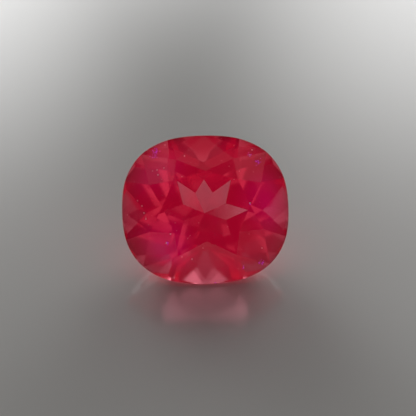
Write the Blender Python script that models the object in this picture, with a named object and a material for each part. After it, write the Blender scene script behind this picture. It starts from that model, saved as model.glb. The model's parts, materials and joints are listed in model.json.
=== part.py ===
"""Cushion-cut red spinel: one faceted crystal, lying on a broad pavilion facet, its table facing forward.

The stone is made the way a lapidary cuts it. A cushion-shaped prism is ground by one flat plane for each
facet: mains, table, stars and upper girdles above the girdle, then culet petals, breaks, mains and lower
girdles below it. Most planes are set by the corners where neighbouring facets meet.

Frame while cutting, in millimetres: +X along the length, +Y to twelve o'clock, +Z out of the table, origin
at the middle of the girdle. The cut stone is then turned to lie on its resting facet and scaled to metres.
"""

import math

import bmesh
import bpy
from mathutils import Matrix, Vector

# Whole stone, in millimetres
LENGTH = 8.00
WIDTH = 7.16
CROWN_HEIGHT = 1.10
PAVILION_DEPTH = 4.00
GIRDLE_THICKNESS = 0.20
OUTLINE_POWER = 2.5
OUTLINE_SEGMENTS = 192

# Directions of the girdle points, in degrees from the length axis, before the outline is stretched
END, END_MID, CORNER, SIDE_MID, SIDE = 90.0, 67.5, 45.0, 22.5, 0.0

# Crown corners, as shares of the half length and the half width
TABLE_END = (0.0, 0.465)
TABLE_SIDE = (0.515, 0.0)
STAR_TIP_END = (0.34, 0.64)
STAR_TIP_SIDE = (0.665, 0.31)

# Pavilion: slopes and azimuths in degrees, petal tips as azimuth and distance from the axis in millimetres
PETAL_SLOPE = 37.1
CORNER_PETAL_AZIMUTH = 42.0
END_PETAL_TIP = (90.0, 1.60)
CORNER_PETAL_TIP = (49.0, 2.02)
SIDE_PETAL_TIP = (0.0, 2.12)
END_NOTCH_REACH = 1.06
SIDE_NOTCH_REACH = 1.14
LOWER_GIRDLE_SLOPE = 58.0
LOWER_GIRDLE_LEVEL = -0.06
RESTING_SLOPE = 50.5

MERGE = 2e-5
MM = 0.001
FLAT = 2e-7
SPINEL_RED = (0.45, 0.004, 0.03, 1.0)
SPINEL_IOR = 1.718


def clear_scene():
    for thing in list(bpy.data.objects):
        bpy.data.objects.remove(thing)


def outline_point(direction, height=0.0):
    """The point of the cushion outline, a superellipse, that lies in a direction."""
    along = math.cos(math.radians(direction))
    across = math.sin(math.radians(direction))
    reach = (abs(along) ** OUTLINE_POWER + abs(across) ** OUTLINE_POWER) ** (-1 / OUTLINE_POWER)
    return Vector((LENGTH / 2 * reach * along, WIDTH / 2 * reach * across, height))


def share_point(shares, height=0.0):
    """A point given as shares of the half length and half width."""
    return Vector((LENGTH / 2 * shares[0], WIDTH / 2 * shares[1], height))


def through(first, second, third):
    """The plane through three corners, facing away from the middle of the stone."""
    normal = (second - first).cross(third - first).normalized()
    if normal.dot(first) < 0:
        normal.negate()
    return first, normal


def sloping_down(point, azimuth, slope):
    """The pavilion plane through a point that faces an azimuth and slopes from the girdle plane."""
    outward, down = math.sin(math.radians(slope)), math.cos(math.radians(slope))
    facing = math.radians(azimuth)
    return point, Vector((outward * math.cos(facing), outward * math.sin(facing), -down))


def height_on(plane, x, y):
    """The point of a plane above or below a place in the girdle plane."""
    point, normal = plane
    drop = (normal.x * (point.x - x) + normal.y * (point.y - y)) / normal.z
    return Vector((x, y, point.z + drop))


def mirrored(plane, flip_x, flip_y):
    point, normal = plane
    return (
        Vector((point.x * flip_x, point.y * flip_y, point.z)),
        Vector((normal.x * flip_x, normal.y * flip_y, normal.z)),
    )


def quarters(plane):
    """The same facet in all four quarters of the stone, each only once."""
    found = []
    for flip_x in (1, -1):
        for flip_y in (1, -1):
            twin = mirrored(plane, flip_x, flip_y)
            if all((twin[1] - seen[1]).length > MERGE for seen in found):
                found.append(twin)
    return found


def rough_prism():
    """The cushion-shaped blank, taller than the crown and deeper than the pavilion."""
    mesh = bmesh.new()
    top = [
        mesh.verts.new(outline_point(360 * i / OUTLINE_SEGMENTS, CROWN_HEIGHT * 2))
        for i in range(OUTLINE_SEGMENTS)
    ]
    cap = mesh.faces.new(top)
    made = bmesh.ops.extrude_face_region(mesh, geom=[cap])["geom"]
    bottom = [v for v in made if isinstance(v, bmesh.types.BMVert)]
    bmesh.ops.translate(mesh, verts=bottom, vec=(0, 0, -2 * (CROWN_HEIGHT + PAVILION_DEPTH)))
    bmesh.ops.recalc_face_normals(mesh, faces=mesh.faces)
    return mesh


def grind(mesh, plane):
    """Grinds one facet: cuts the stone flat along a plane and closes the cut."""
    point, normal = plane
    bmesh.ops.bisect_plane(
        mesh,
        geom=mesh.verts[:] + mesh.edges[:] + mesh.faces[:],
        dist=MERGE,
        plane_co=point,
        plane_no=normal,
        clear_outer=True,
    )
    bmesh.ops.remove_doubles(mesh, verts=mesh.verts, dist=MERGE)
    rim = [edge for edge in mesh.edges if edge.is_boundary]
    if rim:
        bmesh.ops.holes_fill(mesh, edges=rim, sides=0)


def grind_tier(mesh, *planes):
    for plane in planes:
        for twin in quarters(plane):
            grind(mesh, twin)


def cut_crown(mesh):
    """Table, eight mains, eight stars and sixteen upper girdle facets."""
    level = GIRDLE_THICKNESS / 2
    table = level + CROWN_HEIGHT
    end, end_mid = outline_point(END, level), outline_point(END_MID, level)
    corner, side_mid = outline_point(CORNER, level), outline_point(SIDE_MID, level)
    side = outline_point(SIDE, level)
    table_end = share_point(TABLE_END, table)
    table_side = share_point(TABLE_SIDE, table)
    end_main = through(table_end, end, end + Vector((1, 0, 0)))
    side_main = through(table_side, side, side + Vector((0, 1, 0)))
    tip_end = height_on(end_main, *share_point(STAR_TIP_END).xy)
    tip_side = height_on(side_main, *share_point(STAR_TIP_SIDE).xy)
    corner_main = through(corner, tip_end, tip_side)
    grind_tier(mesh, end_main, side_main, corner_main)
    grind(mesh, (table_end, Vector((0, 0, 1))))

    # The table's corner is where the corner main reaches the table, outward from between its neighbours
    between = (table_end + table_side) / 2
    outward = Vector((tip_end.x + tip_side.x, tip_end.y + tip_side.y, 0)).normalized()
    point, normal = corner_main
    table_corner = between + outward * (normal.dot(point - between) / normal.dot(outward))
    grind_tier(mesh, through(table_end, table_corner, tip_end), through(table_side, table_corner, tip_side))
    grind_tier(
        mesh,
        through(tip_end, end, end_mid),
        through(tip_end, end_mid, corner),
        through(tip_side, corner, side_mid),
        through(tip_side, side_mid, side),
    )


def cut_pavilion(mesh):
    """Eight culet petals, eight breaks, eight mains and sixteen lower girdle facets."""
    culet = Vector((0, 0, -PAVILION_DEPTH))
    end_petal = sloping_down(culet, END, PETAL_SLOPE)
    corner_petal = sloping_down(culet, CORNER_PETAL_AZIMUTH, PETAL_SLOPE)
    side_petal = sloping_down(culet, SIDE, PETAL_SLOPE)
    grind_tier(mesh, end_petal, corner_petal, side_petal)

    def tip(petal, place):
        azimuth, reach = math.radians(place[0]), place[1]
        return height_on(petal, reach * math.cos(azimuth), reach * math.sin(azimuth))

    end_tip = tip(end_petal, END_PETAL_TIP)
    corner_tip = tip(corner_petal, CORNER_PETAL_TIP)
    side_tip = tip(side_petal, SIDE_PETAL_TIP)
    end_notch = tip(end_petal, ((END + CORNER_PETAL_AZIMUTH) / 2, END_NOTCH_REACH))
    side_notch = tip(side_petal, ((CORNER_PETAL_AZIMUTH + SIDE) / 2, SIDE_NOTCH_REACH))
    grind_tier(mesh, through(end_notch, end_tip, corner_tip), through(side_notch, corner_tip, side_tip))

    level = -GIRDLE_THICKNESS / 2
    end, corner, side = outline_point(END, level), outline_point(CORNER, level), outline_point(SIDE, level)
    across = outline_point(CORNER + 1) - outline_point(CORNER - 1)
    end_main = through(end_tip, end, end + Vector((1, 0, 0)))
    side_main = through(side_tip, side, side + Vector((0, 1, 0)))
    corner_main = through(corner_tip, corner, corner + across)
    grind_tier(mesh, end_main, side_main, corner_main)

    points = (END, END_MID, CORNER, SIDE_MID, SIDE)
    for first, second in zip(points, points[1:]):
        chord = outline_point(second) - outline_point(first)
        middle = outline_point((first + second) / 2, LOWER_GIRDLE_LEVEL)
        facing = math.degrees(math.atan2(chord.x, -chord.y))
        grind_tier(mesh, sloping_down(middle, facing, LOWER_GIRDLE_SLOPE))

    resting = sloping_down(outline_point(-END, level), -END, RESTING_SLOPE)
    grind(mesh, resting)
    return resting


def lay_down(mesh, resting):
    """Turns the stone onto its resting facet, its bounding box standing centred over the origin."""
    _, normal = resting
    mesh.transform(Matrix.Rotation(math.atan2(-normal.y, -normal.z), 4, "X"))
    mesh.transform(Matrix.Scale(MM, 4))
    spots = [vert.co for vert in mesh.verts]
    low = [min(co[axis] for co in spots) for axis in range(3)]
    high = [max(co[axis] for co in spots) for axis in range(3)]
    shift = Vector((-(low[0] + high[0]) / 2, -(low[1] + high[1]) / 2, -low[2]))
    mesh.transform(Matrix.Translation(shift))
    for vert in mesh.verts:
        if vert.co.z < FLAT:
            vert.co.z = 0.0


def spinel_material():
    material = bpy.data.materials.new("spinel")
    material.use_nodes = True
    shader = material.node_tree.nodes["Principled BSDF"]
    shader.inputs["Base Color"].default_value = SPINEL_RED
    shader.inputs["Roughness"].default_value = 0.02
    shader.inputs["Metallic"].default_value = 0.0
    shader.inputs["IOR"].default_value = SPINEL_IOR
    shader.inputs["Transmission Weight"].default_value = 1.0
    return material


def main():
    clear_scene()
    mesh = rough_prism()
    cut_crown(mesh)
    resting = cut_pavilion(mesh)
    lay_down(mesh, resting)
    bmesh.ops.recalc_face_normals(mesh, faces=mesh.faces)
    data = bpy.data.meshes.new("spinel")
    mesh.to_mesh(data)
    mesh.free()
    data.materials.append(spinel_material())
    bpy.context.scene.collection.objects.link(bpy.data.objects.new("spinel", data))


main()
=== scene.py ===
import json
import math
import random

import bmesh
import bpy
from mathutils import Matrix, Vector
from mathutils.bvhtree import BVHTree


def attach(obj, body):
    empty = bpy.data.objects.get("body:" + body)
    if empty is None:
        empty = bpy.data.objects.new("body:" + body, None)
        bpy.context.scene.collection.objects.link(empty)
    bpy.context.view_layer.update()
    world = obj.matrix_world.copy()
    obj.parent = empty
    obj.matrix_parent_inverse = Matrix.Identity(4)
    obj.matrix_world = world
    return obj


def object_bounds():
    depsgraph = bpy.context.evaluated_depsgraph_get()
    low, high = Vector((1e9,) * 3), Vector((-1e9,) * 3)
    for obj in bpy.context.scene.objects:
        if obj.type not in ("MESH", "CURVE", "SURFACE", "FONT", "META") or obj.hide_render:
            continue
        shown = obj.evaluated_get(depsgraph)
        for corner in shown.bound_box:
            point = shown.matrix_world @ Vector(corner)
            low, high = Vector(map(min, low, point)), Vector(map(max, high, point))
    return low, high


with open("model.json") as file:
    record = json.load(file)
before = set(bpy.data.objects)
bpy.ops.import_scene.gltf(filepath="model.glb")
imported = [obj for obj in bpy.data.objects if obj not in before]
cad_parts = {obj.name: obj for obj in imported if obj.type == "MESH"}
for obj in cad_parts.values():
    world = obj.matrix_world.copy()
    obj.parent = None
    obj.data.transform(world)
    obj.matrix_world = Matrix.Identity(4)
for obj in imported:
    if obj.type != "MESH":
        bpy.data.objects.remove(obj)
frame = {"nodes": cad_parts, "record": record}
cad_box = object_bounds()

# Looks of a cushion-cut red spinel: clear absorbing crystal with a faint painted red glow, a frosted girdle, a
# thin film, specks of pale dust, and violet grains that are painted glints, all grains with a faint painted
# glow, in a dim studio of soft lights. Lengths are in metres, in the frame of the imported solid, and angles
# in degrees, except where a comment says otherwise.
MM = 0.001
stone = frame["nodes"]["spinel"]
mounts = {mount["name"]: mount for mount in frame["record"]["mounts"]}
TABLE_MIDDLE = Vector(mounts["table"]["pos_m"])
STONE_AXIS = Vector(mounts["table"]["axis"]).normalized()
TABLE_UP = STONE_AXIS.cross(Vector((1, 0, 0)))
STONE_LENGTH = cad_box[1].x - cad_box[0].x
GIRDLE_BELOW_TABLE = 1.20 * MM
GIRDLE_BLEND = 0.10 * MM
GIRDLE_MIDDLE = TABLE_MIDDLE - STONE_AXIS * GIRDLE_BELOW_TABLE
GIRDLE_HEIGHT = GIRDLE_MIDDLE.dot(STONE_AXIS)

# The photograph's frame: its side, the girdle's middle and the girdle's length, in pixels
PHOTO_SIDE = 416
PHOTO_MIDDLE = (205.5, 209.0)
PHOTO_LENGTH = 166.0
CAMERA_BELOW_AXIS = 6.5
CAMERA_LEFT = 2.4
CAMERA_LENGTHS_AWAY = 5.0
CAMERA_CLIP = 1.0 * MM
# The camera's sensor, in millimetres
SENSOR = 36.0

# Clear red crystal: share of each colour left after one metre is exp(-density * (1 - colour))
SPINEL_IOR = 1.718
CLEAR = (1.0, 1.0, 1.0, 1.0)
ABSORPTION_COLOUR = (0.92, 0.42, 0.53, 1.0)
ABSORPTION_DENSITY = 460.0

# The crystal has a painted glow, a faint red emission that lights it from within where there is no lamp. In
# three
# zones the painted glow goes more violet: their middles along the length, up the table and out of it from the
# girdle's middle, their reach in millimetres, and how far toward violet they go. A noise makes their edges
# uneven.
PAINTED_GLOW_COLOUR = (0.64, 0.0, 0.062, 1.0)
PAINTED_ZONE_GLOW_COLOUR = (1.0, 0.0, 0.24, 1.0)
PAINTED_GLOW_STRENGTH = 0.142
PAINTED_GLOW_ZONES = ((2.9, 0.2, 0.7, 1.9, 1.0), (-1.9, -1.7, 0.8, 1.8, 1.0), (-2.3, 1.9, 0.8, 1.9, 0.65))
PAINTED_ZONE_NOISE_SCALE = 500.0
PAINTED_ZONE_NOISE_DETAIL = 3.0
PAINTED_ZONE_NOISE_GAIN = 2.2
# The painted glow fades where the stone thins toward its girdle
NO_PAINTED_GLOW = (0.0, 0.0, 0.0, 1.0)
PAINTED_GLOW_FADE_HEIGHT = 0.80 * MM
PAINTED_GLOW_AT_GIRDLE = 0.15

# The crown is polished better than the pavilion, a thin film dulls both where its noise is high, and the
# girdle is frosted. The girdle is told by the cosine between a surface's normal and the stone's axis.
CROWN_ROUGHNESS = 0.03
PAVILION_ROUGHNESS = 0.11
FILM_NOISE_SCALE = 420.0
FILM_NOISE_DETAIL = 4.0
FILM_NOISE_ROUGHNESS = 0.6
FILM_FROM, FILM_TO = 0.52, 0.78
FILM_DULLING = 0.05
GIRDLE_FROM, GIRDLE_TO = 0.15, 0.10
GIRDLE_ROUGHNESS = 0.45

# Studio: an even fill, and soft lights as azimuth from the front toward the left, elevation, the angles from
# their middle where they start to fade and where they end, and brightness
FILL = 0.01
SOFT_LIGHTS = (
    (162.0, 10.0, 4.0, 24.0, 3.2),
    (-162.0, 10.0, 4.0, 24.0, 2.2),
    (150.0, 25.0, 4.0, 25.0, 1.2),
    (-150.0, 25.0, 4.0, 25.0, 1.5),
    (178.0, 36.0, 4.0, 14.0, 0.3),
    (180.0, 77.0, 5.0, 16.0, 0.14),
    (100.0, 60.0, 6.0, 20.0, 0.15),
    (-100.0, 60.0, 6.0, 20.0, 0.18),
    (98.0, 8.0, 6.0, 24.0, 0.30),
    (-106.0, 9.0, 5.0, 15.0, 0.5),
    (-28.0, 22.0, 5.0, 15.0, 0.30),
    (0.0, 18.0, 5.0, 14.0, 0.4),
    (-28.0, 54.0, 2.0, 7.0, 0.30),
)
FLOOR_COLOUR = (0.80, 0.79, 0.76, 1.0)
FLOOR_ROUGHNESS = 0.16
FLOOR_SIZE = 1.2
# The floor lies a hair below the facet that the stone rests on
FLOOR_GAP = 0.02 * MM
LIGHT_BOUNCES = 24

# Grains of pale dust and of violet painted glints are flattened, a random share as broad as long, with their
# middles above their facet by a share of their thickness. They pass on some of the stone's light, and every
# grain glows faintly in its own tones, a painted glow. Their sizes below are in millimetres.
GRAIN_ROUGHNESS = 0.8
GRAIN_PAINTED_GLOW = 0.16
GRAIN_NOISE_SCALE = 30000.0
GRAIN_NOISE_DETAIL = 2.0
GRAIN_BREADTH = (0.6, 1.0)
GRAIN_LIFT = 0.25
GRAIN_SUBDIVISIONS = 2
SPECK_SEED = 7

# Pale specks that the photograph shows, by pixel, with their diameter
SPECKS = (
    (157.0, 170.0, 0.050), (164.0, 168.0, 0.045), (158.0, 175.0, 0.055), (152.5, 171.0, 0.030),
    (137.5, 200.5, 0.040), (142.0, 206.0, 0.040), (144.0, 213.0, 0.045), (146.0, 219.0, 0.055),
    (252.0, 150.0, 0.050), (249.5, 155.0, 0.045), (249.8, 203.0, 0.060), (166.5, 243.0, 0.070),
    (170.5, 234.0, 0.045), (192.0, 259.0, 0.045), (182.0, 257.0, 0.035), (165.0, 145.0, 0.040),
    (184.5, 156.0, 0.045), (262.0, 248.0, 0.040), (203.0, 248.0, 0.030),
)
SPECK_GROWTH = 1.2
FINE_SPECKS = 90
FINE_SPECK_SIZE = (0.012, 0.028)
PALE_TONES = ((0.80, 0.62, 0.70, 1.0), (0.96, 0.92, 0.95, 1.0))
PALE_CLEARNESS = 0.0
PALE_FLATNESS = 0.5

# Violet glints that the photograph shows, painted as violet grains, by pixel, with their spread in pixels and
# their number of grains
PAINTED_VIOLET_GLINTS = (
    (155.0, 152.5, 2.0, 34), (257.5, 162.0, 1.4, 18), (262.0, 263.0, 1.5, 14), (249.5, 154.0, 1.4, 7),
    (167.0, 243.0, 0.6, 7), (243.0, 267.5, 0.8, 4), (249.8, 203.5, 0.5, 3), (215.5, 283.0, 0.6, 4),
)
VIOLET_GRAIN_SIZE = (0.030, 0.075)
VIOLET_TONES = ((0.62, 0.03, 0.72, 1.0), (0.88, 0.14, 0.90, 1.0))
VIOLET_CLEARNESS = 0.35
VIOLET_FLATNESS = 0.15

# A Mix node's sockets for colours go by number, because their names repeat those of its other sockets
MIX_FIRST, MIX_SECOND, MIX_RESULT = 6, 7, 2


def degrees_vector(azimuth, elevation):
    """Direction from the stone to something seen at an azimuth, from -Y toward -X, and an elevation."""
    turn, rise = math.radians(azimuth), math.radians(elevation)
    return Vector((
        -math.sin(turn) * math.cos(rise),
        -math.cos(turn) * math.cos(rise),
        math.sin(rise),
    ))


AXIS_ELEVATION = math.degrees(math.asin(STONE_AXIS.z))
VIEW = degrees_vector(CAMERA_LEFT, AXIS_ELEVATION - CAMERA_BELOW_AXIS)


def make_camera():
    data = bpy.data.cameras.new("camera")
    camera = bpy.data.objects.new("camera", data)
    bpy.context.scene.collection.objects.link(camera)
    bpy.context.scene.camera = camera
    distance = CAMERA_LENGTHS_AWAY * STONE_LENGTH
    camera.location = GIRDLE_MIDDLE + VIEW * distance
    camera.rotation_euler = (-VIEW).to_track_quat("-Z", "Y").to_euler()
    data.sensor_width = SENSOR
    data.clip_start = CAMERA_CLIP
    data.lens = SENSOR * (PHOTO_LENGTH / PHOTO_SIDE) * distance / STONE_LENGTH
    data.shift_x = (PHOTO_SIDE / 2 - PHOTO_MIDDLE[0]) / PHOTO_SIDE
    data.shift_y = (PHOTO_MIDDLE[1] - PHOTO_SIDE / 2) / PHOTO_SIDE
    bpy.context.view_layer.update()
    return camera


def pixel_ray(camera, x, y):
    """Start and direction of the camera's ray through a pixel of the photograph."""
    data = camera.data
    across = (x - PHOTO_SIDE / 2) / PHOTO_SIDE + data.shift_x
    up = (PHOTO_SIDE / 2 - y) / PHOTO_SIDE + data.shift_y
    local = Vector((across * SENSOR, up * SENSOR, -data.lens)).normalized()
    return camera.matrix_world.translation, camera.matrix_world.to_3x3() @ local


def new_material(name):
    material = bpy.data.materials.new(name)
    material.use_nodes = True
    tree = material.node_tree
    return material, tree, tree.nodes["Principled BSDF"]


def feed(tree, socket, value):
    """Gives a socket a fixed value, or links another node's output to it."""
    if isinstance(value, bpy.types.NodeSocket):
        tree.links.new(value, socket)
    else:
        socket.default_value = value


def add_node(tree, kind, **values):
    """A new node: each value is a setting of its own, or feeds the input of that name."""
    node = tree.nodes.new(kind)
    for name, value in values.items():
        if hasattr(node, name):
            setattr(node, name, value)
        else:
            feed(tree, node.inputs[name.replace("_", " ")], value)
    return node


def calculate(tree, operation, *values, **settings):
    """The result of a Math node."""
    node = add_node(tree, "ShaderNodeMath", operation=operation, **settings)
    for socket, value in zip(node.inputs, values):
        feed(tree, socket, value)
    return node.outputs[0]


def compare(tree, operation, vector, fixed):
    """The number a Vector Math node gives for a varying vector and a fixed one."""
    node = add_node(tree, "ShaderNodeVectorMath", operation=operation)
    feed(tree, node.inputs[0], vector)
    feed(tree, node.inputs[1], fixed)
    return node.outputs["Value"]


def ramp(tree, value, start, end, low=0.0, high=1.0, shape="SMOOTHSTEP"):
    """A number that goes from low, where the value is at its start, to high at its end."""
    node = add_node(
        tree, "ShaderNodeMapRange", interpolation_type=shape,
        Value=value, From_Min=start, From_Max=end, To_Min=low, To_Max=high,
    )
    return node.outputs[0]


def noise(tree, place, scale, detail, **settings):
    node = add_node(tree, "ShaderNodeTexNoise", Vector=place, Scale=scale, Detail=detail, **settings)
    return node.outputs["Fac"]


def mix_colours(tree, share, first, second):
    """The first colour where the share is nought, and the second where it is one."""
    node = add_node(tree, "ShaderNodeMix", data_type="RGBA", Factor=share)
    feed(tree, node.inputs[MIX_FIRST], first)
    feed(tree, node.inputs[MIX_SECOND], second)
    return node.outputs[MIX_RESULT]


def zoned_painted_glow(tree, place):
    """The painted glow's colour at a place: crimson, and toward violet in three zones, with uneven edges."""
    total = 0.0
    for along, up, out, reach, most in PAINTED_GLOW_ZONES:
        middle = GIRDLE_MIDDLE + (Vector((along, 0, 0)) + TABLE_UP * up + STONE_AXIS * out) * MM
        away = compare(tree, "DISTANCE", place, middle)
        total = calculate(tree, "ADD", ramp(tree, away, reach * MM, 0.0, high=most), total)
    uneven = noise(tree, place, PAINTED_ZONE_NOISE_SCALE, PAINTED_ZONE_NOISE_DETAIL)
    gain = calculate(tree, "MULTIPLY", uneven, PAINTED_ZONE_NOISE_GAIN)
    patchy = calculate(tree, "MULTIPLY", total, gain, use_clamp=True)
    return mix_colours(tree, patchy, PAINTED_GLOW_COLOUR, PAINTED_ZONE_GLOW_COLOUR)


def crystal_painted_glow_material():
    """Clear red crystal with a faint painted glow: polished crown, duller pavilion, thin film, frosted girdle.
    """
    material, tree, shader = new_material("spinel_crystal_painted_glow")
    shader.inputs["Base Color"].default_value = CLEAR
    shader.inputs["IOR"].default_value = SPINEL_IOR
    shader.inputs["Transmission Weight"].default_value = 1.0
    # The emission is a painted red glow that brightens the crystal's shaded facets
    shader.inputs["Emission Strength"].default_value = PAINTED_GLOW_STRENGTH

    # Height along the stone's axis tells the crown from the pavilion
    place = add_node(tree, "ShaderNodeTexCoord").outputs["Object"]
    height = compare(tree, "DOT_PRODUCT", place, STONE_AXIS)
    side = ramp(
        tree, height, GIRDLE_HEIGHT - GIRDLE_BLEND, GIRDLE_HEIGHT + GIRDLE_BLEND,
        PAVILION_ROUGHNESS, CROWN_ROUGHNESS, "LINEAR",
    )
    film = noise(tree, place, FILM_NOISE_SCALE, FILM_NOISE_DETAIL, Roughness=FILM_NOISE_ROUGHNESS)
    dulled = calculate(tree, "ADD", side, ramp(tree, film, FILM_FROM, FILM_TO, high=FILM_DULLING))

    # The girdle is the only surface whose normal is square to the stone's axis
    normal = add_node(tree, "ShaderNodeNewGeometry").outputs["True Normal"]
    lean = calculate(tree, "ABSOLUTE", compare(tree, "DOT_PRODUCT", normal, STONE_AXIS))
    girdle = ramp(tree, lean, GIRDLE_FROM, GIRDLE_TO, shape="LINEAR")
    rough = add_node(tree, "ShaderNodeMix", data_type="FLOAT", Factor=girdle, A=dulled, B=GIRDLE_ROUGHNESS)
    feed(tree, shader.inputs["Roughness"], rough.outputs["Result"])

    # The painted glow is weaker near the girdle and goes toward violet in three zones
    from_girdle = calculate(tree, "ABSOLUTE", calculate(tree, "SUBTRACT", height, GIRDLE_HEIGHT))
    painted_glow_share = ramp(tree, from_girdle, 0.0, PAINTED_GLOW_FADE_HEIGHT, low=PAINTED_GLOW_AT_GIRDLE)
    painted_glow = mix_colours(tree, painted_glow_share, NO_PAINTED_GLOW, zoned_painted_glow(tree, place))
    feed(tree, shader.inputs["Emission Color"], painted_glow)

    volume = add_node(
        tree, "ShaderNodeVolumeAbsorption", Color=ABSORPTION_COLOUR, Density=ABSORPTION_DENSITY
    )
    feed(tree, tree.nodes["Material Output"].inputs["Volume"], volume.outputs[0])
    return material


def grain_material_with_painted_glow(name, tones, clearness):
    """Grains whose tone varies from a darker to a lighter one, that pass on some of the stone's light, and
    that glow faintly in that tone as painted light.
    """
    material, tree, shader = new_material(name)
    shader.inputs["Roughness"].default_value = GRAIN_ROUGHNESS
    shader.inputs["Transmission Weight"].default_value = clearness
    # The grains' emission is a painted glow in their own tone
    shader.inputs["Emission Strength"].default_value = GRAIN_PAINTED_GLOW
    place = add_node(tree, "ShaderNodeTexCoord").outputs["Object"]
    grain = noise(tree, place, GRAIN_NOISE_SCALE, GRAIN_NOISE_DETAIL)
    tone_and_painted_glow = add_node(tree, "ShaderNodeValToRGB", Fac=grain)
    for element, colour in zip(tone_and_painted_glow.color_ramp.elements, tones):
        element.color = colour
    feed(tree, shader.inputs["Base Color"], tone_and_painted_glow.outputs["Color"])
    feed(tree, shader.inputs["Emission Color"], tone_and_painted_glow.outputs["Color"])
    return material


def floor_material():
    material, _, shader = new_material("pale_floor")
    shader.inputs["Base Color"].default_value = FLOOR_COLOUR
    shader.inputs["Roughness"].default_value = FLOOR_ROUGHNESS
    return material


def make_grains(name, material, spots, flatness, chance):
    """Flattened grains on the facets where rays meet the stone: each spot is a start, a way and a width."""
    stone_tree = BVHTree.FromObject(stone, bpy.context.evaluated_depsgraph_get())
    mesh = bmesh.new()
    for start, way, width in spots:
        hit, normal, _, _ = stone_tree.ray_cast(start, way)
        if hit is None:
            continue
        turn = Matrix.Rotation(chance.uniform(0, math.tau), 4, "Z")
        breadth = width * chance.uniform(*GRAIN_BREADTH)
        shape = Matrix.Diagonal((width, breadth, width * flatness, 1))
        lie = normal.to_track_quat("Z", "Y").to_matrix().to_4x4()
        at = Matrix.Translation(hit + normal * (width * flatness * GRAIN_LIFT))
        bmesh.ops.create_icosphere(
            mesh, subdivisions=GRAIN_SUBDIVISIONS, radius=0.5, matrix=at @ lie @ turn @ shape
        )
    data = bpy.data.meshes.new(name)
    mesh.to_mesh(data)
    mesh.free()
    data.materials.append(material)
    grains = bpy.data.objects.new(name, data)
    bpy.context.scene.collection.objects.link(grains)
    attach(grains, "root")


def make_specks(camera):
    """Pale dust specks that the photograph shows and finer specks at random, and violet grains painted where
    it shows coloured glints.
    """
    chance = random.Random(SPECK_SEED)
    spots = [(*pixel_ray(camera, x, y), width * SPECK_GROWTH * MM) for x, y, width in SPECKS]
    for _ in range(FINE_SPECKS):
        aim = GIRDLE_MIDDLE + Vector([chance.uniform(-0.5, 0.5) * STONE_LENGTH for _ in range(3)])
        way = Vector((chance.uniform(-1, 1), chance.uniform(-1, 1), chance.uniform(-1, 0))).normalized()
        spots.append((aim - way * STONE_LENGTH, way, chance.uniform(*FINE_SPECK_SIZE) * MM))
    pale = grain_material_with_painted_glow("pale_dust_painted_glow", PALE_TONES, PALE_CLEARNESS)
    make_grains("dust", pale, spots, PALE_FLATNESS, chance)

    # Violet grains that are painted glints, spread round each pixel
    spots = []
    for x, y, spread, count in PAINTED_VIOLET_GLINTS:
        for _ in range(count):
            start, way = pixel_ray(camera, chance.gauss(x, spread), chance.gauss(y, spread))
            spots.append((start, way, chance.uniform(*VIOLET_GRAIN_SIZE) * MM))
    violet = grain_material_with_painted_glow("painted_violet_glints", VIOLET_TONES, VIOLET_CLEARNESS)
    make_grains("painted_violet_glints", violet, spots, VIOLET_FLATNESS, chance)


def make_floor():
    bpy.ops.mesh.primitive_plane_add(size=FLOOR_SIZE, location=(0, 0, -FLOOR_GAP))
    floor = bpy.context.object
    floor.name = "floor"
    floor.data.materials.append(floor_material())


def make_studio():
    """Soft lights far away all round, placed so that the crown and the table mirror little of them."""
    world = bpy.data.worlds.new("studio")
    bpy.context.scene.world = world
    world.use_nodes = True
    tree = world.node_tree
    way = add_node(tree, "ShaderNodeTexCoord").outputs["Generated"]
    total = FILL
    for azimuth, elevation, inner, outer, level in SOFT_LIGHTS:
        lean = compare(tree, "DOT_PRODUCT", way, degrees_vector(azimuth, elevation))
        start, end = math.cos(math.radians(outer)), math.cos(math.radians(inner))
        total = calculate(tree, "ADD", ramp(tree, lean, start, end, high=level), total)
    feed(tree, tree.nodes["Background"].inputs["Color"], total)


def set_view():
    scene = bpy.context.scene
    scene.view_settings.view_transform = "Standard"
    scene.cycles.max_bounces = LIGHT_BOUNCES
    scene.cycles.transmission_bounces = LIGHT_BOUNCES
    scene.cycles.glossy_bounces = LIGHT_BOUNCES


camera = make_camera()
stone.data.materials.clear()
stone.data.materials.append(crystal_painted_glow_material())
make_specks(camera)
make_floor()
make_studio()
set_view()
